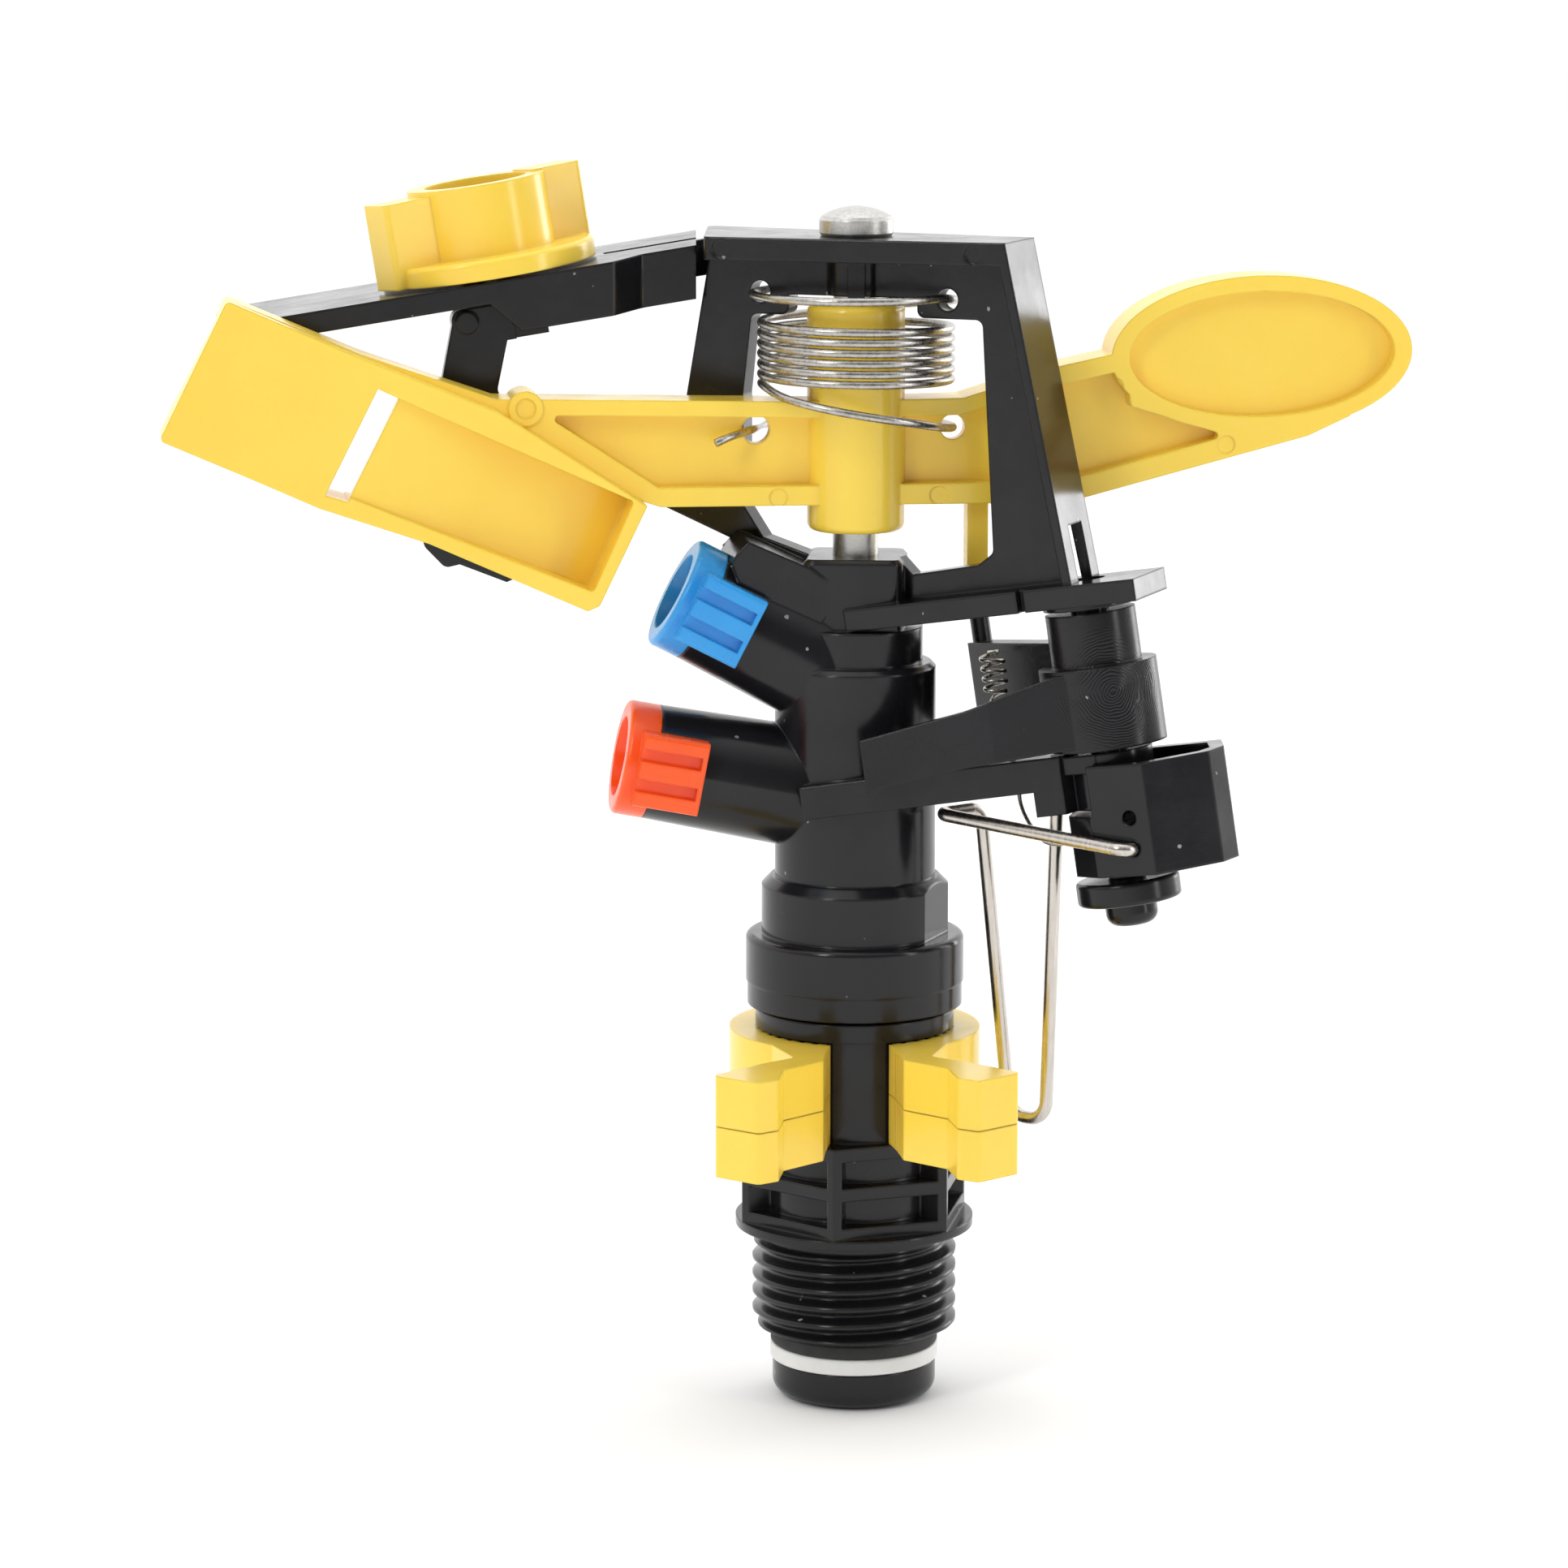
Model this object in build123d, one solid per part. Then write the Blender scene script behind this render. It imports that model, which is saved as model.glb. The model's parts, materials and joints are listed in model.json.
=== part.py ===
from build123d import *
import math
import os

os.makedirs("parts", exist_ok=True)

# Impact sprinkler, part circle, two nozzles, G1/2 male inlet.
# Frame: +Z up along the stem, origin on the stem axis at the thread's shoulder.
# The nozzles throw towards -X. The -Y side is the front.

# ---------------------------------------------------------------- inlet
THREAD_R = 10.48
THREAD_ROOT_R = 9.32
THREAD_PITCH = 1.814
THREAD_TURNS = 5
SLEEVE_END_Z = -11.0
SLEEVE_BORE_R = 7.55
SHOULDER_R = 12.2
HEX_CORNER_R = 12.2
HEX_TOP_Z = 10.4
NECK_R = 9.6
NECK_TOP_Z = 20.9

# ---------------------------------------------------------------- bearing
BEARING_R = 7.5
WATERWAY_R = 5.6
NOSE_R = 8.4
NOSE_Z = -17.9

# ---------------------------------------------------------------- rotor
SKIRT_R = 11.1
SKIRT_Z = 23.2
SKIRT_TOP_Z = 30.5
COLUMN_R = 8.15
COLUMN_TOP_Z = 58.4
UPPER_TILT = 27.5
LOWER_TILT = 11.0
UPPER_MOUTH = (-18.45, 65.75)
LOWER_MOUTH = (-24.0, 49.1)
NOZZLE_TUBE_R = 5.8
NOZZLE_BORE_R = 4.3
CAP_RING = 3.2

# ---------------------------------------------------------------- bridge
BRIDGE_TURN = -30.0
BAR_TOP_Z = 101.2
BAR_UNDER_Z = 98.9
WEB = 1.2
LEG_DEPTH = 4.2
PIN_R = 2.3
EAR_HOLE_R = 1.1

# ---------------------------------------------------------------- hammer
HUB_R = 4.9
HUB_LOW_Z = 71.7
HUB_TOP_Z = 94.5
ARM_WEB = 0.8
ARM_DEPTH = 2.8

# ---------------------------------------------------------------- hammer spring
COIL_R = 9.5
COIL_WIRE_R = 0.42

# ---------------------------------------------------------------- trip
TRIP_REACH = 25.2
TRIP_Z = 63.6
TRIP_TILT = 9.0
TRIP_PIN_R = 1.9
WIRE_R = 0.68

# ---------------------------------------------------------------- range arm
RANGE_SLOPE = 8.8
KNOB_AT = (-35.6, 13.0)
KNOB_SEAT_Z = 96.8
TONGUE_Y = 13.5


def side_plane(turn=0.0):
    """Upright plane through the stem axis: local X outward, local Y up, local Z to the front."""
    a = math.radians(turn)
    return Plane(
        origin=(0, 0, 0),
        x_dir=(math.cos(a), math.sin(a), 0),
        z_dir=(math.sin(a), -math.cos(a), 0),
    )


def trip_plane():
    """Frame of the trip mechanism: local Z along its tilted pivot, local -Y to the front."""
    a = math.radians(BRIDGE_TURN)
    t = math.radians(TRIP_TILT)
    out = Vector(math.cos(a), math.sin(a), 0)
    up = Vector(0, 0, 1)
    return Plane(
        origin=out * TRIP_REACH + up * TRIP_Z,
        x_dir=out * math.cos(t) + up * math.sin(t),
        z_dir=up * math.cos(t) - out * math.sin(t),
    )


def range_plane():
    """Frame of the range knob: origin on the range arm's top face, local Z along the knob."""
    t = math.radians(RANGE_SLOPE)
    x, y = KNOB_AT
    return Plane(
        origin=(x, y, KNOB_SEAT_Z),
        x_dir=(math.cos(t), 0, math.sin(t)),
        z_dir=(-math.sin(t), 0, math.cos(t)),
    )


TRIP = trip_plane()
RANGE = range_plane()


def rod(radius, low, high, x=0.0, y=0.0):
    """Upright cylinder between two heights."""
    return Pos(x, y, low) * Cylinder(radius, high - low, align=(Align.CENTER, Align.CENTER, Align.MIN))


def block(low, high):
    """Box between two corners."""
    size = [h - l for l, h in zip(low, high)]
    return Pos(*low) * Box(*size, align=(Align.MIN, Align.MIN, Align.MIN))


def outline(points, rounding=0.0, rounded=None):
    """Flat polygon, with all or some of its corners rounded."""
    shape = Polygon(*points, align=None)
    if not rounding:
        return shape
    corners = shape.vertices()
    if rounded is not None:
        picked = [points[i] for i in rounded]
        corners = [
            v for v in corners
            if min(math.dist((v.X, v.Y), p) for p in picked) < 1e-6
        ]
    return fillet(corners, rounding)


def slab(shape, back, front, turn=0.0):
    """Flat shape standing in a side plane, thickened from back to front."""
    return side_plane(turn) * Pos(0, 0, back) * extrude(shape, amount=front - back, dir=(0, 0, 1))


def plate(shape, low, high):
    """Flat shape lying level, thickened from low to high."""
    return Pos(0, 0, low) * extrude(shape, amount=high - low, dir=(0, 0, 1))


def cross_rod(radius, x, z, back, front, turn=0.0):
    """Cylinder across a side plane."""
    return side_plane(turn) * Pos(x, z, back) * Cylinder(
        radius, front - back, align=(Align.CENTER, Align.CENTER, Align.MIN)
    )


def turned(points):
    """Solid of revolution about the stem axis from (radius, height) points."""
    return revolve(Plane.XZ * Polygon(*points, align=None), Axis.Z)


def swept_wire(path, radius):
    """Round wire along a path."""
    start = Plane(origin=path @ 0, z_dir=path % 0)
    return sweep(start * Circle(radius), path=path)


def bent_path(points, bends):
    """Straight runs through the points, joined by arcs, one bend radius for each corner."""
    stops = [Vector(*p) for p in points]
    edges = []
    here = stops[0]
    for before, corner, after, bend in zip(stops, stops[1:], stops[2:], bends):
        back = (before - corner).normalized()
        ahead = (after - corner).normalized()
        half = math.acos(max(-1, min(1, back.dot(ahead)))) / 2
        cut = bend / math.tan(half)
        middle = (back + ahead).normalized()
        enter = corner + back * cut
        leave = corner + ahead * cut
        apex = corner + middle * (bend / math.sin(half) - bend)
        edges.append(Line(here, enter))
        edges.append(ThreePointArc(enter, apex, leave))
        here = leave
    edges.append(Line(here, stops[-1]))
    return Wire(edges)


def nozzle_frame(mouth, tilt):
    """Frame at a nozzle's mouth: local Z points out along the jet, local X across, local Y up."""
    t = math.radians(tilt)
    return Plane(
        origin=(mouth[0], 0, mouth[1]),
        x_dir=(0, -1, 0),
        z_dir=(-math.cos(t), 0, math.sin(t)),
    )


UPPER = nozzle_frame(UPPER_MOUTH, UPPER_TILT)
LOWER = nozzle_frame(LOWER_MOUTH, LOWER_TILT)


# ================================================================ inlet parts
def hex_core():
    """Six-sided grip: three bands and six corner posts round a plain core."""
    hexagon = Rot(0, 0, 12) * RegularPolygon(HEX_CORNER_R, 6)
    prism = plate(hexagon, 0.5, HEX_TOP_Z)
    grip = rod(9.4, 0.5, HEX_TOP_Z)
    for low, high in ((0.5, 2.1), (4.9, 6.25), (9.0, HEX_TOP_Z)):
        grip += plate(hexagon, low, high)
    posts = [
        Rot(0, 0, 12 + 60 * k) * block((9, -0.75, 1), (13, 0.75, 10)) for k in range(6)
    ]
    for post in posts:
        grip += post & prism
    return grip


def thread_rings():
    """Male thread as full-depth rings at the thread's own pitch."""
    rings = []
    for k in range(THREAD_TURNS):
        z = -2.6 - THREAD_PITCH * k
        rings.append(
            turned(
                [
                    (THREAD_ROOT_R - 0.3, z - 0.86),
                    (THREAD_R, z - 0.16),
                    (THREAD_R, z + 0.16),
                    (THREAD_ROOT_R - 0.3, z + 0.86),
                ]
            )
        )
    return rings


def threaded_sleeve():
    """Fixed inlet sleeve: neck for the collars, hex, shoulder and male thread."""
    body = rod(THREAD_ROOT_R, SLEEVE_END_Z, 1)
    body = chamfer(body.edges().group_by(Axis.Z)[0], 0.4)
    for ring in thread_rings():
        body += ring
    body += rod(THREAD_R, -0.4, 0.5)
    body += rod(SHOULDER_R, 0, 0.9)
    body += hex_core()
    body += rod(NECK_R, HEX_TOP_Z - 0.5, NECK_TOP_Z + 0.5)
    body += rod(10.15, NECK_TOP_Z, 22.8)
    body += rod(8.9, 22.5, 24.6)
    return body - rod(SLEEVE_BORE_R, SLEEVE_END_Z - 1, 30)


def bearing_tube():
    """Turning tube through the sleeve, with the nose that carries the washers."""
    nose = fillet(
        rod(NOSE_R, NOSE_Z, -14.2).edges().group_by(Axis.Z)[0], 1.5
    )
    tube = nose + rod(BEARING_R, -14.5, 35.0)
    return tube - rod(WATERWAY_R, NOSE_Z - 1, 36)


def washer(low, high, outer):
    """Flat ring round the bearing tube."""
    ring = rod(outer, low, high) - rod(BEARING_R + 0.03, low - 1, high + 1)
    return fillet(ring.edges().filter_by(GeomType.CIRCLE).group_by(SortBy.RADIUS)[-1], 0.25)


def bearing_spring():
    """Short open coil between the sleeve and the rotor, on the bearing tube."""
    path = Helix(pitch=1.45, height=2.9, radius=8.35)
    return Pos(0, 0, 25.95) * swept_wire(path, 0.5)


def collar(low, high):
    """Open trip collar with a toothed bore and two splayed ears."""
    ring = rod(12.8, low, high)
    right_ear = [
        (2.9, -8.5), (3.5, -12.2), (4.0, -16.6), (8.1, -20.4), (8.8, -24.6),
        (10.8, -25.9), (15.2, -22.4), (10.3, -17.6), (6.9, -15.0), (9.0, -8.8),
    ]
    right = plate(outline(right_ear, 0.6, [2, 3, 4, 5, 6, 7, 8]), low, high)
    left = mirror(right, Plane.YZ)
    body = ring + right + left
    body -= rod(NECK_R + 0.06, low - 2, high + 2)
    teeth = [
        Rot(0, 0, 9 * k) * block((9.3, -0.35, low - 2), (10.05, 0.35, high + 2)) for k in range(40)
    ]
    for tooth in teeth:
        body -= tooth
    gap = plate(
        outline([(-2.6, -8), (-3.45, -12), (-3.45, -20), (3.45, -20), (3.45, -12), (2.6, -8)]),
        low - 2,
        high + 2,
    )
    return Rot(0, 0, -5.1) * (body - gap)


# ================================================================ rotor body
def column():
    """Upright water column with its wrench section and spring skirt."""
    body = rod(COLUMN_R, 30, COLUMN_TOP_Z)
    body = chamfer(body.edges().group_by(Axis.Z)[-1], 0.5)
    wrench = rod(9.5, 30, 36.4)
    wrench = chamfer(wrench.edges().group_by(Axis.Z)[-1], 0.9)
    across = Rot(0, 0, BRIDGE_TURN) * block((-8.9, -12, 29), (8.9, 12, 37))
    skirt = rod(SKIRT_R, SKIRT_Z, SKIRT_TOP_Z)
    skirt = fillet(skirt.edges().group_by(Axis.Z)[-1], 0.6)
    lip = rod(SKIRT_R + 1, SKIRT_Z - 0.2, 25.6) - rod(SKIRT_R - 0.15, SKIRT_Z - 1, 26)
    return body + (wrench & across) + (skirt - lip)


def nozzle_tube(frame, length):
    """Tapered barrel running back from a nozzle's mouth."""
    return frame * Pos(0, 0, -CAP_RING) * Rot(180, 0, 0) * Cone(
        NOZZLE_TUBE_R, NOZZLE_TUBE_R + 0.55, length, align=(Align.CENTER, Align.CENTER, Align.MIN)
    )


def nozzle_bore(frame, length):
    """Water passage of a nozzle barrel."""
    return frame * Rot(180, 0, 0) * Cylinder(
        NOZZLE_BORE_R, length, align=(Align.CENTER, Align.CENTER, Align.MIN)
    )


def bridge_web():
    """Flat web of the bridge with its window, ears and feet."""
    outer = [
        (-15.0, 101), (17.0, 101), (24.2, 66.5), (1.6, 62.5), (-3, 61), (-11, 64),
        (-12.9, 70.2), (-21.6, 73.6), (-18.0, 84.6), (-16.6, 92.4), (-15.4, 98.9),
    ]
    window = [
        (-10.9, 93.15), (-6.8, 93.15), (-6.8, 95.2), (7.0, 95.2), (7.0, 93.3), (13.9, 93.3),
        (15.2, 70.2), (13.6, 68.9), (6.6, 67.6), (5.0, 69.2), (-3.4, 68.7), (-9.6, 70.6),
        (-11.8, 73.8), (-11.8, 85.0),
    ]
    web = slab(outline(outer), -WEB, WEB, BRIDGE_TURN)
    return web - slab(outline(window, 0.8, [0, 1, 4, 5, 6]), -2 * WEB, 2 * WEB, BRIDGE_TURN)


def bridge_top():
    """Tapered top bar that holds the fulcrum pin's head."""
    shape = outline(
        [(-13.4, -7.4), (17.3, -4.2), (17.3, 4.2), (-19.0, 6.8)], 0.8, [0, 3]
    )
    bar = Rot(0, 0, BRIDGE_TURN) * plate(shape, BAR_UNDER_Z, BAR_TOP_Z)
    boss = rod(2.9, 95.3, BAR_UNDER_Z + 0.5)
    rib = slab(outline([(-0.85, 94.95), (0.85, 94.95), (0.85, 99.5), (-0.85, 99.5)]), 0, 3.4, -8)
    return bar + boss + rib


def bridge_legs():
    """Outer flange of the right leg and the stiffened foot of the left leg."""
    right = slab(
        outline([(16.3, 101), (17.3, 101), (24.7, 67.0), (23.7, 67.0)]),
        -LEG_DEPTH, LEG_DEPTH, BRIDGE_TURN,
    )
    left = slab(
        outline([(-15.4, 99), (-16.6, 92.4), (-18.0, 84.6), (-21.6, 73.6), (-20.6, 73.2),
                 (-17.1, 84.5), (-15.7, 92.3), (-14.5, 99)]),
        -2.6, WEB, BRIDGE_TURN,
    )
    return right + left


def bridge_foot():
    """Pin boss, saddle on the upper barrel and the beam over the trip lever."""
    boss = Rot(0, 0, -12) * block((-5.0, -5.2, 57.5), (5.0, 5.2, 69.2))
    boss = fillet(boss.edges().filter_by(Axis.Z), 1.2)
    boss = chamfer(boss.edges().group_by(Axis.Z)[-1], 0.4)
    saddle = slab(
        outline([(-13.2, 69.4), (-11.4, 71.2), (-5.3, 68.5), (-2, 66), (-6, 60), (-11, 63)]),
        -5.0, 4.6,
    )
    beam = block((-24.0, -5.5, 2.2), (6.9, 4.0, 4.4))
    slit = block((-5.5, -6, 1), (-4.7, -4.2, 5))
    pivot_pad = rod(4.6, 1.7, 2.4)
    return boss + saddle + TRIP * (beam - slit + pivot_pad)


def shelf():
    """Shelf off the column that carries the lower end of the trip pivot."""
    plan = outline([(-27.5, -7.0), (-7, -4.2), (0, -4.4), (0, 0), (-6, 0.2), (-27.5, 0.2)])
    deck = plate(plan, -14.4, -12.6)
    fin_plan = outline([(-29.6, -9.9), (-6.6, -5.4), (-3.6, -4.95), (-3.6, -3.4), (-29.6, -7.6)])
    fin = plate(fin_plan, -15.7, -12.4)
    pad_plan = outline([(-6.6, -5.3), (-3.6, -4.9), (-2.6, -2.0), (-6.6, -2.0)])
    pad = plate(pad_plan, -18.2, -12.4)
    boss = rod(4.3, -18.2, -12.6)
    return TRIP * (deck + fin + pad + boss)


def range_tongue():
    """Tongue at the bridge's left end that the range arm is pushed on to."""
    shape = outline([(-23.2, 98.5), (-23.2, 94.9), (-12.0, 96.6), (-11.4, 98.9), (-11.4, 100.4)])
    return Pos(0, TONGUE_Y, 0) * slab(shape, -0.6, 0.6)


def rotor_body():
    """One moulding: column, two nozzle barrels, bridge, beam and shelf."""
    body = column() + rod(6.8, 56, 62) + bridge_foot() + bridge_web()
    for frame, length in ((UPPER, 19.0), (LOWER, 22.0)):
        body -= frame * block((-7.3, -4.0, -8.2), (7.3, 4.0, 0))
        body += nozzle_tube(frame, length)
    body += bridge_top()
    body += bridge_legs()
    body += shelf()
    body += range_tongue()
    body -= rod(BEARING_R + 0.03, 20, 35.5)
    body -= rod(10.35, 20, 29.6)
    body -= rod(WATERWAY_R, 35, 56.5)
    for frame, length in ((UPPER, 21.0), (LOWER, 24.0)):
        body -= nozzle_bore(frame, length)
        body -= frame * Pos(0, 0, -CAP_RING) * Cylinder(4.9, 1.2)
        body -= frame * Cylinder(NOZZLE_TUBE_R + 2, 2 * CAP_RING - 0.01)
    body -= rod(PIN_R + 0.02, 61.5, 110)
    body -= TRIP * rod(TRIP_PIN_R + 0.05, -20, 10)
    for s, z in ((-9.9, 95.4), (10.2, 95.2)):
        body -= cross_rod(EAR_HOLE_R, s, z, -5, 5, BRIDGE_TURN)
    for s, z, face in ((-11.6, 100.0, 7.1), (14.2, 100.0, 4.4)):
        body -= cross_rod(1.0, s, z, face, 9, BRIDGE_TURN)
    return body


def fulcrum_pin():
    """Steel pin the hammer swings on, with a domed head."""
    head = turned([
        (0, BAR_TOP_Z), (3.5, BAR_TOP_Z), (3.7, 101.5), (3.7, 102.8), (3.5, 103.1), (0, 103.1),
    ])
    dome = rod(3.5, 103.0, 104.2) & Pos(0, 0, 97.55) * Sphere(6.6)
    return head + dome + rod(PIN_R, 62.0, BAR_TOP_Z + 0.2)


# ================================================================ nozzles
def nozzle_cap(frame, tab_width, orifice_r):
    """Push-on nozzle cap: ring, spigot and two ribbed side tabs."""
    low = (Align.CENTER, Align.CENTER, Align.MAX)
    ring = Cylinder(NOZZLE_TUBE_R, CAP_RING - 0.05, align=low)
    ring = fillet(ring.edges().group_by(Axis.Z)[-1], 0.5)
    spigot = Cylinder(NOZZLE_BORE_R - 0.05, 7.0, align=low)
    cap = ring + spigot
    for side in (0, 180):
        tab = block((NOZZLE_TUBE_R - 1.2, -tab_width / 2, -7.9), (7.2, tab_width / 2, -1.3))
        tab = fillet(tab.edges().filter_by(Axis.Z).group_by(Axis.X)[-1], 0.4)
        for y in (-1.55, 1.55):
            tab -= block((6.25, y - 0.65, -7.4), (8, y + 0.65, -0.9))
        cap += Rot(0, 0, side) * tab
    mouth = Pos(0, 0, 0.01) * Rot(180, 0, 0) * Cone(
        4.1, 3.4, 3.4, align=(Align.CENTER, Align.CENTER, Align.MIN)
    )
    jet = Cylinder(orifice_r, 30)
    clear = Pos(0, 0, -CAP_RING) * Rot(180, 0, 0) * Cone(
        NOZZLE_TUBE_R + 0.04, NOZZLE_TUBE_R + 0.62, 22.0,
        align=(Align.CENTER, Align.CENTER, Align.MIN),
    )
    sleeve_space = clear - Pos(0, 0, -CAP_RING) * Cylinder(
        NOZZLE_BORE_R + 0.2, 8.2, align=low
    )
    return frame * (cap - mouth - jet - sleeve_space)


def nozzle_seal(frame):
    """Thin sealing ring round a cap's spigot, against the barrel's end."""
    ring = Cylinder(4.85, 0.6, align=(Align.CENTER, Align.CENTER, Align.MAX))
    ring -= Cylinder(NOZZLE_BORE_R, 3)
    return frame * Pos(0, 0, -CAP_RING) * ring


# ================================================================ hammer
def arm_outline():
    """Side outline of the arm between the spoon and the counterweight."""
    return [
        (-62.7, 95.8), (-49.6, 90.2), (-36.4, 85.6), (-4.0, 84.9), (10.5, 85.1), (20.4, 88.2),
        (30.0, 90.2), (50.0, 90.0), (50.0, 81.9), (21.0, 74.4), (-20.0, 74.6), (-21.6, 75.1),
        (-46.1, 86.0), (-62.0, 93.0),
    ]


def inner_windows():
    """Recesses that leave the arm's rims standing on both faces."""
    left = [(-31.5, 83.9), (-4.0, 83.3), (-4.0, 76.5), (-20.2, 76.5)]
    right = [
        (4.0, 83.3), (10.2, 83.4), (20.8, 86.4), (27.0, 87.7), (27.5, 84.0), (37.5, 80.9),
        (21.0, 76.6), (4.0, 76.5),
    ]
    return left, right


def spoon():
    """Deflecting vane: top and bottom rims, front wall with the jet slot, curved inner face."""
    edge = [
        (-62.7, 95.8), (-69.5, 82.2), (-60.4, 78.2), (-54.0, 75.3), (-43.2, 71.6),
        (-27.6, 64.6), (-26.4, 65.1), (-21.6, 75.0), (-36.4, 84.6), (-49.6, 90.0),
    ]
    shell = slab(outline(edge, 0.5, [0, 1, 5, 6]), -5.2, 5.2)
    trim = [
        (-72, -6), (-72, 0.6), (-60, 2.2), (-50.5, 2.4), (-46.5, 5.2), (-40, 5.6), (-30, 3.0),
        (-20, 1.0), (-20, -6),
    ]
    shell &= plate(outline(trim), 60, 100)
    channel = [
        (-75, 98.0), (-61.6, 93.2), (-49.2, 88.3), (-36.0, 83.0), (-18, 73.5),
        (-22, 60.0), (-27.9, 60.0), (-27.9, 66.5), (-42.7, 73.2), (-53.6, 76.9), (-60.0, 79.8), (-75, 84.0),
    ]
    pocket = slab(outline(channel), -12, 3.6)
    rear = [(-57, -3.6), (-48.5, -3.6), (-24, 2.4), (-10, 2.4), (-10, 12), (-57, 12)]
    behind = plate(outline(rear), 50, 110)
    shell -= pocket & (behind + rod(15.0, 50, 110, x=-57, y=11.4))
    face = [(-46.7, 86.32), (-22.9, 75.5), (-27.0, 66.5), (-42.9, 73.0), (-51.6, 76.6)]
    ahead = plate(outline([(-52, -6), (-52, -4.9), (-47, -4.6), (-22, 0.8), (-22, -6)]), 50, 110)
    shell -= slab(outline(face, 0.4, [1, 2]), -8, 8) & ahead
    slot = [(-48.1, 87.0), (-46.0, 86.0), (-51.2, 75.9), (-53.4, 76.6)]
    return shell - slab(outline(slot), -8, 8)


def counterweight():
    """Oval paddle at the arm's tail, recessed on both faces."""
    oval = Pos(40.9, 89.1) * Rot(0, 0, 1) * Ellipse(15.4, 7.9)
    well = Pos(40.9, 89.1) * Rot(0, 0, 1) * Ellipse(13.6, 6.3)
    paddle = slab(oval, -ARM_DEPTH, ARM_DEPTH)
    paddle -= slab(well, 1.2, 5)
    paddle -= slab(well, -5, -1.2)
    return paddle


def hammer_arm():
    """Hammer: hub, I-section arm, spoon, oval counterweight and striker tab."""
    arm = slab(outline(arm_outline(), 0.4), -ARM_DEPTH, ARM_DEPTH)
    for shape in inner_windows():
        arm -= slab(outline(shape, 0.4), ARM_WEB, 5)
        arm -= slab(outline(shape, 0.4), -5, -ARM_WEB)
    paddle = Pos(40.9, 89.1) * Rot(0, 0, 1) * Ellipse(14.6, 7.1)
    arm -= slab(paddle, -5, 5)
    arm -= block((26, -5, 91.2), (60, 5, 99))
    tail = outline([(50.1, 70), (50.1, 81.95), (20, 74.0), (20, 70)])
    arm -= slab(tail, -5, 5)
    arm += counterweight()
    arm += spoon()
    boss = cross_rod(1.75, -33.4, 84.6, -ARM_DEPTH, ARM_DEPTH + 0.2)
    arm += boss - cross_rod(1.0, -33.4, 84.6, ARM_DEPTH, 5)
    striker = block((11.2, -1.2, 63.0), (13.3, 1.2, 76.0))
    arm += striker
    hub = fillet(rod(HUB_R, HUB_LOW_Z, HUB_TOP_Z).edges().filter_by(GeomType.CIRCLE), 0.8)
    arm += hub
    arm -= rod(PIN_R + 0.06, 60, 96)
    for x, r in ((-10.2, 1.4), (9.7, 1.25)):
        arm -= cross_rod(r, x, 82.0, -5, 5)
    for x, z in ((-8.2, 75.35), (8.0, 75.35), (41.1, 94.6), (25.8, 86.0), (37.3, 80.0)):
        arm -= cross_rod(0.9, x, z, ARM_DEPTH - 0.12, 5)
    return arm


def coil_point(angle, height, radius=COIL_R):
    """Point on the hammer spring at an angle about the stem and a height."""
    a = math.radians(angle)
    return (radius * math.cos(a), radius * math.sin(a), height)


def hammer_spring():
    """Torsion spring: hooked in the bridge's ears above and the arm's web below."""
    points = [coil_point(138, 95.6, 9.6), coil_point(150, 95.45, 9.9)]
    points += [coil_point(a, 95.4, 10.3) for a in range(165, 320, 22)]
    points += [coil_point(330, 95.2, 10.2), coil_point(345, 94.9, 9.9)]
    points += [coil_point(360 + a, 94.6 - 1.7 * a / 96, COIL_R) for a in range(8, 97, 22)]
    turned_by = 2240
    points += [coil_point(470 + a, 92.75 - 6.4 * a / turned_by) for a in range(0, turned_by + 1, 32)]
    last = 470 + turned_by
    points += [coil_point(last + a, 86.3 - 4.3 * a / 150, 9.6) for a in range(22, 140, 22)]
    points += [(9.7, 0.0, 82.0)]
    points += [coil_point(a, 82.0, 9.5) for a in range(22, 165, 22)]
    points += [(-10.2, 0.0, 82.0), (-12.0, -2.2, 81.8), (-14.6, -3.6, 81.0)]
    return swept_wire(Spline(*points), COIL_WIRE_R)


# ================================================================ range arm, knob, deflector
def arm_floor(x):
    """Height of the range arm's top face, measured along its own slope."""
    return KNOB_SEAT_Z + (x - KNOB_AT[0]) * math.tan(math.radians(RANGE_SLOPE))


def range_arm():
    """Sloping channel arm off the bridge that carries the range knob."""
    plan = [
        (-59.5, 3.0), (-24.0, 3.0), (-20.8, 6.0), (-15.4, 6.0), (-13.5, 22.6), (-60.0, 23.0),
    ]
    solid = plate(outline(plan, 1.2, [1, 2]), 80, 110)
    inner_plan = [
        (-61.5, 4.6), (-24.5, 4.6), (-21.3, 7.6), (-16.9, 7.6), (-15.2, 21.2), (-61.5, 21.4),
    ]
    inner = plate(outline(inner_plan, 0.8, [1, 2]), 80, 110)
    x0, x1 = -62.0, -12.0
    deep = [
        (x0, arm_floor(x0)), (x1, arm_floor(x1)), (x1, arm_floor(x1) - 5.4),
        (-33.2, arm_floor(-33.2) - 5.4), (-36.4, arm_floor(-36.4) - 2.2), (x0, arm_floor(x0) - 2.2),
    ]
    arm = solid & slab(outline(deep), -30, 20)
    under = [
        (x0 - 1, arm_floor(x0 - 1) - 1.5), (x1, arm_floor(x1) - 1.5), (x1, 80), (x0 - 1, 80),
    ]
    arm -= inner & slab(outline(under), -30, 20)
    arm -= Pos(0, TONGUE_Y, 0) * block((-24.0, -0.75, 90), (-10, 0.75, 110))
    arm -= RANGE * rod(3.2, -8, 5)
    return arm


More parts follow.
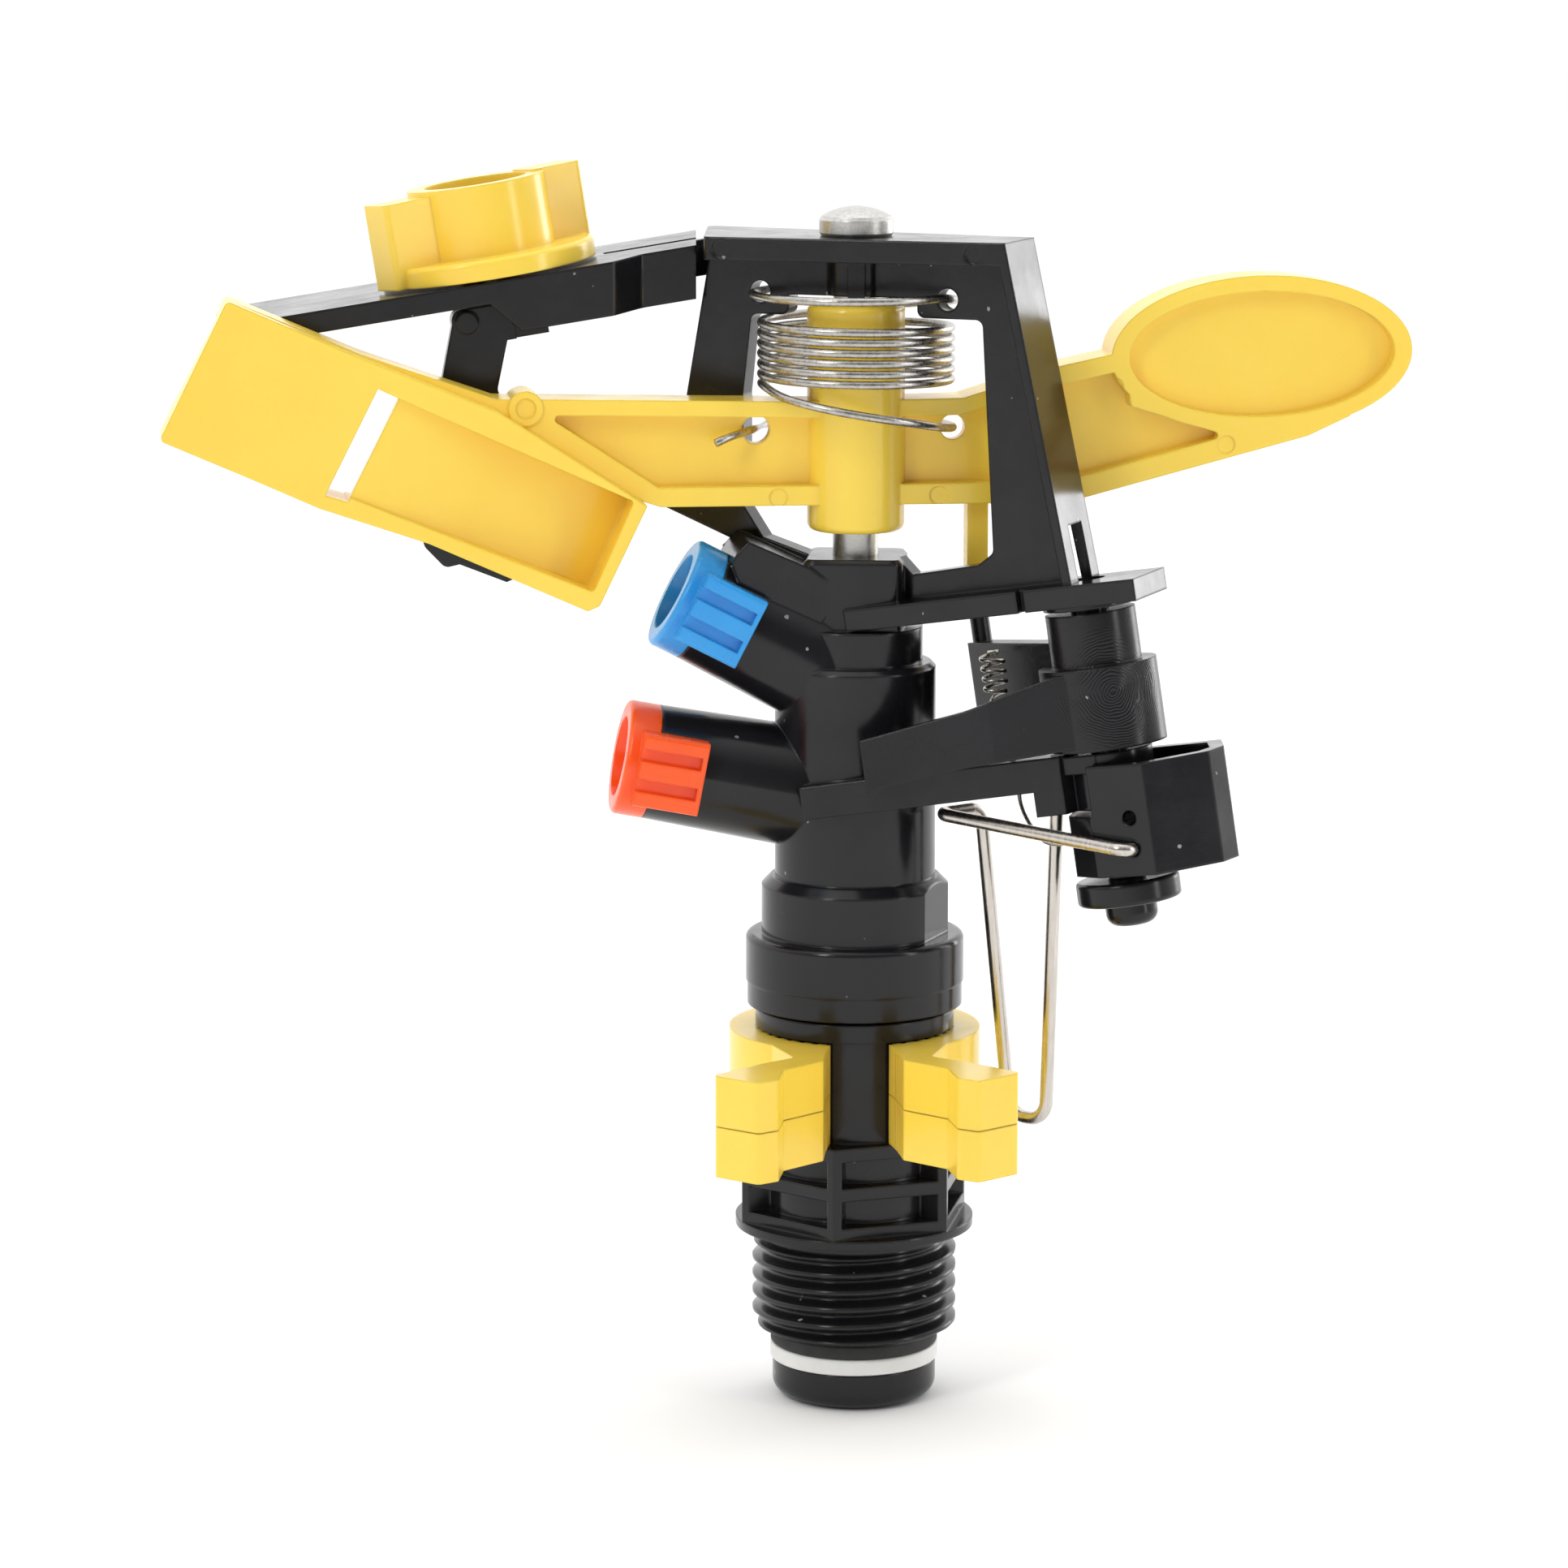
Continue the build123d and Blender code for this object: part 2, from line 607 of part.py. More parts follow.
def range_knob():
    """Wing knob: flange, open cylinder with a cam ledge, and two offset wings."""
    flange = fillet(rod(10.9, 0.3, 2.3).edges().group_by(Axis.Z)[-1], 0.5)
    barrel = rod(7.0, 2.0, 9.4)
    wings = block((-11.8, -2.4, 0.3), (-5.5, 2.4, 8.9)) + block((5.5, -2.4, 2.0), (11.0, 2.4, 9.6))
    wings = fillet(wings.edges().filter_by(Axis.Z), 0.5)
    knob = flange + barrel + Rot(0, 0, 24) * wings
    knob -= rod(5.2, 5.6, 12)
    knob -= rod(3.4, -1, 12)
    return RANGE * knob


def deflector():
    """Jet deflector: snap post through the knob, tie, cross bar and hanging blade."""
    post = rod(2.9, -4.6, 7.6) - block((-0.8, -4, 0), (0.8, 4, 9))
    tie = block((-4.6, -5.0, -6.4), (4.6, 3.4, -4.4))
    bar = outline([(-5.0, -6.4), (-5.0, -2.6), (1.2, -2.6), (1.2, -6.4)], 1.2, [1])
    blade = outline(
        [
            (-5.0, -4.0), (0.5, -4.0), (0.7, -5.2), (-1.6, -11.3), (-0.6, -13.0), (4.6, -14.5),
            (5.0, -24.0), (2.6, -29.0), (-3.8, -30.6), (-8.2, -28.0), (-9.7, -28.1), (-11.5, -25.5),
            (-6.8, -9.0),
        ],
        0.9, [3, 4, 6, 7, 10, 11],
    )
    side = Plane(origin=RANGE.origin, x_dir=RANGE.x_dir, z_dir=Vector(0, -1, 0))
    crossbar = side * Pos(0, 0, 3.1) * extrude(bar, amount=2.9, dir=(0, 0, 1))
    hanging = side * Pos(0, 0, 4.3) * extrude(blade, amount=1.7, dir=(0, 0, 1))
    stub = side * Pos(-3.5, -4.0, 5.0) * Cylinder(1.15, 1.3, align=(Align.CENTER, Align.CENTER, Align.MIN))
    return RANGE * (post + tie) + crossbar + hanging + stub


# ================================================================ trip mechanism
def reverse_lever():
    """Reversing lever: stepped hub, tapered front arm and back arm with its pawl peg."""
    hub = rod(4.5, -5, 1.3) + rod(5.9, -12.2, -4.0)
    front = outline(
        [
            (-22.0, -8.2), (-22.0, -13.4), (-12.0, -12.2), (2.0, -11.6), (2.0, -4.4),
            (-2.6, -4.4), (-11.5, -6.6),
        ],
    )
    plan = outline([
        (-22.0, -10.9), (-9.0, -8.2), (0, -5.3), (3, -4.2), (0, -2), (-9.0, -6.3), (-22.0, -9.2),
    ])
    tall = Plane(origin=(0, 0, 0), x_dir=(1, 0, 0), z_dir=(0, -1, 0))
    arm = (tall * extrude(front, amount=14, dir=(0, 0, 1))) & plate(plan, -16, 0)
    a = math.degrees(math.atan2(12.45, -17.0))
    back = Rot(0, 0, a) * block((2, -1.1, -10.5), (21.6, 1.1, -1.9))
    peg = Rot(0, 0, a) * rod(1.0, -2.2, 3.6, x=20.4)
    lever = hub + arm + back + peg
    return TRIP * (lever - rod(TRIP_PIN_R + 0.06, -20, 10))


def trip_hood():
    """Open-topped hood that carries the trip wire and turns on the pivot's lower end."""
    plan = [
        (5.6, -7.0), (-0.8, -5.9), (-3.9, -3.6), (-4.6, 0.0), (-4.6, 6.2), (9.6, 6.2),
        (11.6, 1.0), (11.0, -2.0),
    ]
    shell = plate(outline(plan), -24.7, -13.6)
    hollow_plan = [
        (5.0, -5.6), (-0.3, -4.95), (-7.0, -4.95), (-7.0, 4.8), (8.6, 4.8), (10.2, 0.8), (9.7, -1.3),
    ]
    shell -= plate(outline(hollow_plan), -18.6, -10)
    shell -= block((-8, -8, -18.6), (-0.6, 8, -10))
    shell -= rod(TRIP_PIN_R + 0.06, -30, -10)
    for z in (-18.9, -22.0):
        shell -= Pos(3.5, 0, z) * Rot(90, 0, 0) * Cylinder(WIRE_R + 0.08, 30)
    return TRIP * shell


def in_trip(points):
    """Points given in the trip's own frame, moved into the part's frame."""
    return [tuple(TRIP.from_local_coords(Vector(*p))) for p in points]


def trip_wire():
    """Bent steel wire, hooked in the hood at both ends, whose legs strike the collars' ears."""
    front = [(3.5, -5.2, -22.0), (3.5, -8.0, -22.0)]
    legs = [
        (7.35, -7.0, 43.7), (12.3, -3.95, 43.6), (15.6, -3.05, 11.5), (18.75, -6.45, 11.5),
    ]
    rear = [
        (-7.6, 3.8, -17.4), (-4.2, 7.8, -19.6), (0.0, 8.4, -22.0), (3.5, 8.4, -22.0), (3.5, 5.0, -22.0),
    ]
    stops = in_trip(front) + legs + in_trip(rear)
    bends = (1.3, 1.1, 1.6, 2.1, 2.1, 1.3, 1.5, 1.2, 1.2)
    return swept_wire(bent_path(stops, bends), WIRE_R)


def trip_pin():
    """Pivot of the trip mechanism, pushed up from below, with a stepped foot."""
    shaft = rod(TRIP_PIN_R, -26, 4.2)
    foot = fillet(rod(5.2, -28.0, -25.6).edges().filter_by(GeomType.CIRCLE), 0.4)
    tip = fillet(rod(2.6, -30.4, -27.5).edges().group_by(Axis.Z)[0], 1.2)
    return TRIP * (shaft + foot + tip)


def trip_spring():
    """Over-centre spring between the reversing lever and the hood."""
    coil = []
    for step in range(0, 50):
        a = math.radians(30 * step)
        coil.append((-12.2 - 1.1 * math.sin(a), 3.0 + 1.1 * math.cos(a), -2.4 - 0.085 * step))
    path = [(-12.9, 6.9, -2.6), (-13.0, 5.2, -2.4)] + coil
    path += [(-11.4, 2.9, -12.0), (-11.2, 3.0, -18.0), (-9.4, 1.6, -21.0), (-5.0, 0.6, -21.6)]
    return swept_wire(Spline(*in_trip(path)), 0.22)


PARTS = {
    "threaded_sleeve": threaded_sleeve,
    "bearing_tube": bearing_tube,
    "white_washer": lambda: washer(-14.15, -12.5, 8.65),
    "rubber_washer": lambda: washer(-12.45, -11.05, 8.6),
    "spring_washer": lambda: washer(24.65, 25.4, 9.4),
    "bearing_spring": bearing_spring,
    "lower_collar": lambda: collar(10.5, 15.55),
    "upper_collar": lambda: collar(15.65, 20.7),
    "rotor_body": rotor_body,
    "fulcrum_pin": fulcrum_pin,
    "upper_nozzle": lambda: nozzle_cap(UPPER, 7.4, 1.9),
    "lower_nozzle": lambda: nozzle_cap(LOWER, 7.4, 1.3),
    "upper_seal": lambda: nozzle_seal(UPPER),
    "lower_seal": lambda: nozzle_seal(LOWER),
    "hammer_arm": hammer_arm,
    "hammer_spring": hammer_spring,
    "range_arm": range_arm,
    "range_knob": range_knob,
    "deflector": deflector,
    "reverse_lever": reverse_lever,
    "trip_hood": trip_hood,
    "trip_wire": trip_wire,
    "trip_pin": trip_pin,
    "trip_spring": trip_spring,
}

for name, make in PARTS.items():
    shape = make()
    export_step(shape, f"parts/{name}.step")
    print(name, round(shape.volume, 1), len(shape.solids()))
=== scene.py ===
import json
import math

import bmesh
import bpy
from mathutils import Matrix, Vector


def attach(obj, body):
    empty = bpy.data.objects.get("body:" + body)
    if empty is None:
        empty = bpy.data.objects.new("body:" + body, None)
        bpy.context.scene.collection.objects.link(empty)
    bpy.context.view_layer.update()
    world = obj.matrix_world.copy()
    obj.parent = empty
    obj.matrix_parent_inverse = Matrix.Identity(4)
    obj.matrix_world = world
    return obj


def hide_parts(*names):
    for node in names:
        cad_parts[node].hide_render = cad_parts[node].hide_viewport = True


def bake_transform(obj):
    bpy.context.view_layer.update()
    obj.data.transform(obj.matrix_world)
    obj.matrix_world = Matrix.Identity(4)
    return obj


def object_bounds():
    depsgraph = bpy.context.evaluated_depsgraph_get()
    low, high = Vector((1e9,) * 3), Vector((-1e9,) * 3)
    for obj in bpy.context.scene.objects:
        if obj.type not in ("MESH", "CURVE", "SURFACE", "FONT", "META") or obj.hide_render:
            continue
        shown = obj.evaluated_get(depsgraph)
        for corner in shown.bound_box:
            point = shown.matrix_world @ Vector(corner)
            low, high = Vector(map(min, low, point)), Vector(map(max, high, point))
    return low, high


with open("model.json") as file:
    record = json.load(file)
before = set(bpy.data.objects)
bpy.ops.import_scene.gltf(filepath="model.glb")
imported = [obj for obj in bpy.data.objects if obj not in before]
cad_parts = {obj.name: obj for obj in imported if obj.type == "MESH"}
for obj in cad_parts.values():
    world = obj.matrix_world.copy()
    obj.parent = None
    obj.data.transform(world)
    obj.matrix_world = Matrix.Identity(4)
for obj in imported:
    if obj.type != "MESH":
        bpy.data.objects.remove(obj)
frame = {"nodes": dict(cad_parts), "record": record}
cad_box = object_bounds()
MM = 0.001

# Camera, in metres and radians, with its lens and sensor in millimetres
CAMERA_AT = (-0.0768, -0.5281, 0.1407)
CAMERA_TURN = (math.radians(79.9), 0, math.radians(-7.5))
CAMERA_LENS = 122.6
CAMERA_SENSOR = 36

# Room's strength at its dim and bright ends, along a mix of height and depth
DIM = 0.2
BRIGHT = 1.3
DIM_FROM = -0.45
BRIGHT_FROM = 0.6
HEIGHT_SHARE = 0.8

# Soft boxes, which face one point: place and size in metres, power in watts
LAMPS_FACE = (0, 0, 0.045)
LAMPS = {
    "key": ((-0.75, -0.75, 0.75), (0.2, 0.6), 3.8),
    "fill": ((0.85, -0.6, 0.35), (0.14, 0.7), 1.9),
    "top": ((0.0, 0.15, 0.95), (0.8, 0.6), 0.8),
    "edge": ((0.82, 0.53, 0.15), (0.3, 0.5), 2.1),
}

# Half the floor's width and its gap under the object, in metres
FLOOR_HALF = 3
FLOOR_GAP = 0.0002

# Swirl of flow on the lever's hub, in metres
SWIRL_AT = (22.8 * MM, -18.7 * MM, 57.7 * MM)
SWIRL_SPACING = 0.3 * MM
SWIRL_REACH = 6.5 * MM
SWIRL_DEPTH = 2.4
SWIRL_WOBBLE = 1.4 * MM

# Black moulding's darkest colour, and the most that a fine relief stands out, in metres
BLACK = (0.0065, 0.0063, 0.0075)
RELIEF = 0.03 * MM

# Inlet thread, in millimetres
PITCH = 1.814
CREST_R = 10.48
ROOT_R = 9.3
END_R = 8.9
BORE_R = 7.55
THREAD_TOP = -0.3
THREAD_END = -11.0
FIRST_CREST = -2.6
THREAD_BEGINS = -1.3
BEGINNING = 0.7
THREAD_STOPS = -10.9
STOPPING = 0.6

# Half of a thread's foot and the width of one flank, as shares of the pitch
HALF_FOOT = 0.42
FLANK = 0.32

# Steps round the thread, rows along it and rows that lead in from the shoulder
THREAD_STEPS = 128
THREAD_ROWS = 108
LEAD_IN_ROWS = 4

# Counterweight's oval on the hammer and the notch in the arm under it, in millimetres
OVAL_X = 40.9
OVAL_Z = 89.1
OVAL_HALF_LONG = 15.4
OVAL_HALF_HIGH = 7.9
NOTCH_FROM = 49.0
NOTCH_TO = 50.2


# ---------------------------------------------------------------- camera
def place_camera():
    """Long lens, a little above the object and to its left."""
    data = bpy.data.cameras.new("camera")
    data.lens = CAMERA_LENS
    data.sensor_width = CAMERA_SENSOR
    camera = bpy.data.objects.new("camera", data)
    bpy.context.scene.collection.objects.link(camera)
    camera.location = CAMERA_AT
    camera.rotation_euler = CAMERA_TURN
    bpy.context.scene.camera = camera


# ---------------------------------------------------------------- light and floor
def area_light(name, place, size, power):
    """Rectangular soft box that faces the object."""
    data = bpy.data.lights.new(name, "AREA")
    data.shape = "RECTANGLE"
    data.size, data.size_y = size
    data.energy = power
    lamp = bpy.data.objects.new(name, data)
    bpy.context.scene.collection.objects.link(lamp)
    lamp.location = place
    lamp.rotation_euler = (Vector(LAMPS_FACE) - Vector(place)).to_track_quat("-Z", "Y").to_euler()


def studio():
    """White room, brightest behind and above, dim in front, with four soft boxes."""
    world = bpy.data.worlds.new("studio")
    bpy.context.scene.world = world
    world.use_nodes = True
    nodes, links = world.node_tree.nodes, world.node_tree.links
    nodes.clear()
    place = nodes.new("ShaderNodeTexCoord")
    split = nodes.new("ShaderNodeSeparateXYZ")
    grade = nodes.new("ShaderNodeMapRange")
    grade.inputs["From Min"].default_value = DIM_FROM
    grade.inputs["From Max"].default_value = BRIGHT_FROM
    grade.inputs["To Min"].default_value = DIM
    grade.inputs["To Max"].default_value = BRIGHT
    lean = nodes.new("ShaderNodeMath")
    lean.operation = "MULTIPLY_ADD"
    lean.inputs[1].default_value = HEIGHT_SHARE
    glow = nodes.new("ShaderNodeBackground")
    glow.inputs["Color"].default_value = (1, 1, 1, 1)
    out = nodes.new("ShaderNodeOutputWorld")
    links.new(place.outputs["Generated"], split.inputs["Vector"])
    links.new(split.outputs["Z"], lean.inputs[0])
    links.new(split.outputs["Y"], lean.inputs[2])
    links.new(lean.outputs["Value"], grade.inputs["Value"])
    links.new(grade.outputs["Result"], glow.inputs["Strength"])
    links.new(glow.outputs["Background"], out.inputs["Surface"])
    for name, (at, size, power) in LAMPS.items():
        area_light(name, at, size, power)
    bpy.context.scene.view_settings.view_transform = "Standard"


def floor():
    """Pale matte floor just below the object."""
    mesh = bpy.data.meshes.new("floor")
    low = cad_box[0][2] - FLOOR_GAP
    half = FLOOR_HALF
    corners = [(-half, -half, low), (half, -half, low), (half, half, low), (-half, half, low)]
    mesh.from_pydata(corners, [], [(0, 1, 2, 3)])
    plane = bpy.data.objects.new("floor", mesh)
    bpy.context.scene.collection.objects.link(plane)
    material = bpy.data.materials.new("floor")
    material.use_nodes = True
    shader = material.node_tree.nodes["Principled BSDF"]
    shader.inputs["Base Color"].default_value = (0.96, 0.96, 0.96, 1)
    shader.inputs["Roughness"].default_value = 0.9
    shader.inputs["Specular IOR Level"].default_value = 0.1
    mesh.materials.append(material)


# ---------------------------------------------------------------- materials
class Graph:
    """A material's node tree, built up from a principled shader."""

    def __init__(self, name, **constants):
        self.material = bpy.data.materials.new(name)
        self.material.use_nodes = True
        self.tree = self.material.node_tree
        self.shader = self.tree.nodes["Principled BSDF"]
        for socket, value in constants.items():
            self.shader.inputs[socket.replace("_", " ")].default_value = value
        place = self.tree.nodes.new("ShaderNodeTexCoord")
        self.place = place.outputs["Object"]

    def node(self, kind, **values):
        """New node with constants on its sockets."""
        made = self.tree.nodes.new(kind)
        for socket, value in values.items():
            made.inputs[socket.replace("_", " ")].default_value = value
        return made

    def link(self, source, target):
        self.tree.links.new(source, target)

    def stretched(self, scale):
        """Object coordinates scaled along each axis."""
        mapping = self.node("ShaderNodeMapping")
        mapping.inputs["Scale"].default_value = scale
        self.link(self.place, mapping.inputs["Vector"])
        return mapping.outputs["Vector"]

    def noise(self, scale, detail=2.0, rough=0.5, where=None):
        """Cloud from 0 to 1."""
        made = self.node("ShaderNodeTexNoise", Scale=scale, Detail=detail, Roughness=rough)
        self.link(where or self.place, made.inputs["Vector"])
        return made.outputs["Fac"]

    def ramp(self, factor, stops):
        """Colours along a factor."""
        made = self.tree.nodes.new("ShaderNodeValToRGB")
        band = made.color_ramp
        while len(band.elements) < len(stops):
            band.elements.new(0.5)
        for element, (at, colour) in zip(band.elements, stops):
            element.position = at
            element.color = (*colour, 1)
        self.link(factor, made.inputs["Fac"])
        return made.outputs["Color"]

    def mix(self, factor, first, second):
        """Blend of two colours."""
        made = self.tree.nodes.new("ShaderNodeMix")
        made.data_type = "RGBA"
        self.link(factor, made.inputs["Factor"])
        self.link(first, made.inputs["A"])
        self.link(second, made.inputs["B"])
        return made.outputs["Result"]

    def spread(self, factor, low, high):
        """Cloud stretched over a range of values."""
        made = self.node("ShaderNodeMapRange", From_Min=0.3, From_Max=0.7, To_Min=low, To_Max=high)
        self.link(factor, made.inputs["Value"])
        return made.outputs["Result"]

    def relief(self, height, strength, edge):
        """Fine bumps over edges rounded to a radius."""
        made = self.node("ShaderNodeBump", Strength=strength, Distance=RELIEF)
        self.link(height, made.inputs["Height"])
        soft = self.tree.nodes.new("ShaderNodeBevel")
        soft.samples = 6
        soft.inputs["Radius"].default_value = edge
        self.link(soft.outputs["Normal"], made.inputs["Normal"])
        self.link(made.outputs["Normal"], self.shader.inputs["Normal"])

    def swirl(self):
        """Wavy rings round a point, dying out at a distance."""
        wander = self.tree.nodes.new("ShaderNodeVectorMath")
        wander.operation = "MULTIPLY_ADD"
        wander.inputs[1].default_value = [SWIRL_WOBBLE] * 3
        cloud = self.node("ShaderNodeTexNoise", Scale=350)
        self.link(self.place, cloud.inputs["Vector"])
        self.link(cloud.outputs["Color"], wander.inputs[0])
        self.link(self.place, wander.inputs[2])
        gap = self.tree.nodes.new("ShaderNodeVectorMath")
        gap.operation = "DISTANCE"
        gap.inputs[1].default_value = [along + SWIRL_WOBBLE / 2 for along in SWIRL_AT]
        self.link(wander.outputs["Vector"], gap.inputs[0])
        phase = self.calculate("MULTIPLY", gap.outputs["Value"], 2 * math.pi / SWIRL_SPACING)
        wave = self.calculate("SINE", phase)
        fade = self.node("ShaderNodeMapRange", From_Max=SWIRL_REACH, To_Min=SWIRL_DEPTH, To_Max=0.0)
        self.link(gap.outputs["Value"], fade.inputs["Value"])
        return self.calculate("MULTIPLY", wave, fade.outputs["Result"])

    def calculate(self, operation, first, second=None):
        """Sum, product or other function of one or two values."""
        made = self.tree.nodes.new("ShaderNodeMath")
        made.operation = operation
        self.link(first, made.inputs[0])
        if isinstance(second, float):
            made.inputs[1].default_value = second
        elif second:
            self.link(second, made.inputs[1])
        return made.outputs["Value"]


def moulded(name, light, deep, rough, subsurface):
    """Glossy moulded plastic: cloudy colour, faint flow ripple and softened edges."""
    g = Graph(name)
    cloud = g.noise(70, 3.0, 0.6)
    colour = g.ramp(cloud, [(0.3, deep), (0.7, light)])
    g.link(colour, g.shader.inputs["Base Color"])
    g.link(g.spread(g.noise(260, 4.0, 0.65), *rough), g.shader.inputs["Roughness"])
    g.relief(g.noise(420, 2.0, 0.5), 0.25, 0.3 * MM)
    g.shader.inputs["Subsurface Weight"].default_value = subsurface
    g.shader.inputs["Subsurface Radius"].default_value = (1.0, 0.55, 0.1)
    g.shader.inputs["Subsurface Scale"].default_value = 1.5 * MM
    return g.material


def speckled_black(name, rough=(0.13, 0.26), swirled=False):
    """Glossy black moulding with scuffs, fine pale dust specks and perhaps a swirl of flow."""
    g = Graph(name, Specular_IOR_Level=0.36)
    dots = g.tree.nodes.new("ShaderNodeTexVoronoi")
    dots.inputs["Scale"].default_value = 520
    dots.inputs["Randomness"].default_value = 1.0
    g.link(g.place, dots.inputs["Vector"])
    pick = g.noise(900, 1.0, 0.5)
    speck = g.calculate("SUBTRACT", pick, dots.outputs["Distance"])
    seen = g.ramp(speck, [(0.56, (0, 0, 0)), (0.6, (1, 1, 1))])
    scuffed = tuple(1.7 * channel for channel in BLACK)
    cloud = g.ramp(g.noise(60, 4.0, 0.6), [(0.3, BLACK), (0.7, scuffed)])
    pale = g.ramp(g.noise(300), [(0.3, (0.16, 0.16, 0.17)), (0.7, (0.34, 0.33, 0.34))])
    g.link(g.mix(seen, cloud, pale), g.shader.inputs["Base Color"])
    g.link(g.spread(g.noise(150, 5.0, 0.7), *rough), g.shader.inputs["Roughness"])
    height = g.noise(600, 3.0, 0.6)
    if swirled:
        height = g.calculate("ADD", height, g.swirl())
    g.relief(height, 0.3, 0.35 * MM)
    return g.material


def steel(name, light, deep, rough, grain):
    """Bare steel with a fine grain."""
    g = Graph(name, Metallic=1.0)
    along = g.stretched(grain)
    streaks = g.noise(1.0, 4.0, 0.7, along)
    g.link(g.ramp(streaks, [(0.3, deep), (0.7, light)]), g.shader.inputs["Base Color"])
    g.link(g.spread(streaks, *rough), g.shader.inputs["Roughness"])
    g.relief(streaks, 0.35, 0.15 * MM)
    return g.material


def matte(name, light, deep, rough):
    """Dull rubber or plastic."""
    g = Graph(name)
    colour = g.ramp(g.noise(240, 4.0, 0.6), [(0.3, deep), (0.7, light)])
    g.link(colour, g.shader.inputs["Base Color"])
    g.link(g.spread(g.noise(500, 3.0), *rough), g.shader.inputs["Roughness"])
    g.relief(g.noise(1500, 3.0), 0.3, 0.2 * MM)
    return g.material


def make_materials():
    """One material for each slot, and one more for the lever with its swirl."""
    yellow = moulded(
        "yellow_moulding", (0.985, 0.71, 0.09), (0.965, 0.665, 0.075), (0.17, 0.27), 0.15
    )
    blue = moulded(
        "blue_moulding", (0.033, 0.35, 0.80), (0.022, 0.30, 0.74), (0.2, 0.32), 0.05
    )
    orange = moulded(
        "orange_moulding", (0.98, 0.105, 0.008), (0.93, 0.085, 0.006), (0.18, 0.3), 0.08
    )
    return {
        "black_moulding": speckled_black("black_moulding"),
        "black_with_swirl": speckled_black("black_with_swirl", (0.2, 0.34), swirled=True),
        "yellow_moulding": yellow,
        "blue_moulding": blue,
        "orange_moulding": orange,
        "white_washer": matte("white_washer", (0.82, 0.82, 0.8), (0.74, 0.74, 0.71), (0.4, 0.55)),
        "rubber_washer": matte(
            "rubber_washer", (0.03, 0.03, 0.03), (0.018, 0.018, 0.018), (0.6, 0.8)
        ),
        "seal_rubber": matte("seal_rubber", (0.035, 0.035, 0.035), (0.02, 0.02, 0.02), (0.6, 0.8)),
        "pin_steel": steel(
            "pin_steel", (0.68, 0.67, 0.64), (0.47, 0.46, 0.44), (0.3, 0.46), (2600, 2600, 2600)
        ),
        "wire_steel": steel(
            "wire_steel", (0.66, 0.62, 0.57), (0.5, 0.46, 0.42), (0.18, 0.3), (2400, 2400, 260)
        ),
        "spring_steel": steel(
            "spring_steel", (0.56, 0.54, 0.5), (0.34, 0.32, 0.3), (0.22, 0.36), (1800, 1800, 1800)
        ),
    }


def dress_nodes(materials):
    """Every CAD node takes the material of its slot, and the lever the one with the swirl."""
    slots = {part["node"]: part["material_slot"] for part in frame["record"]["subparts"]}
    slots["reverse_lever"] = "black_with_swirl"
    for name, node in frame["nodes"].items():
        for place in node.material_slots:
            place.link = "OBJECT"
            place.material = materials[slots[name]]


# ---------------------------------------------------------------- added pieces
def piece(node, mesh, materials, slot):
    """Finished mesh as a piece that stands for a CAD node."""
    made = bpy.data.objects.new(f"{node}_detail", mesh)
    bpy.context.scene.collection.objects.link(made)
    mesh.materials.clear()
    mesh.materials.append(materials[slot])
    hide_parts(node)
    return made


def share(value):
    """Value held between 0 and 1."""
    return max(0.0, min(1.0, value))


def thread_radius(turn, z):
    """Radius of the helical thread in mm, with flat crests and fading ends."""
    phase = ((z - FIRST_CREST) / PITCH - turn + 0.5) % 1.0 - 0.5
    rise = share((HALF_FOOT - abs(phase)) / FLANK)
    fade = share((THREAD_BEGINS - z) / BEGINNING) * share((z - THREAD_STOPS) / STOPPING)
    return ROOT_R + (CREST_R - ROOT_R) * rise * fade


def ring_of_points(form, radii, z):
    """Points round the stem at a height, both in millimetres."""
    ring = []
    for step, radius in enumerate(radii):
        angle = 2 * math.pi * step / THREAD_STEPS
        place = (radius * math.cos(angle) * MM, radius * math.sin(angle) * MM, z * MM)
        ring.append(form.verts.new(place))
    return ring


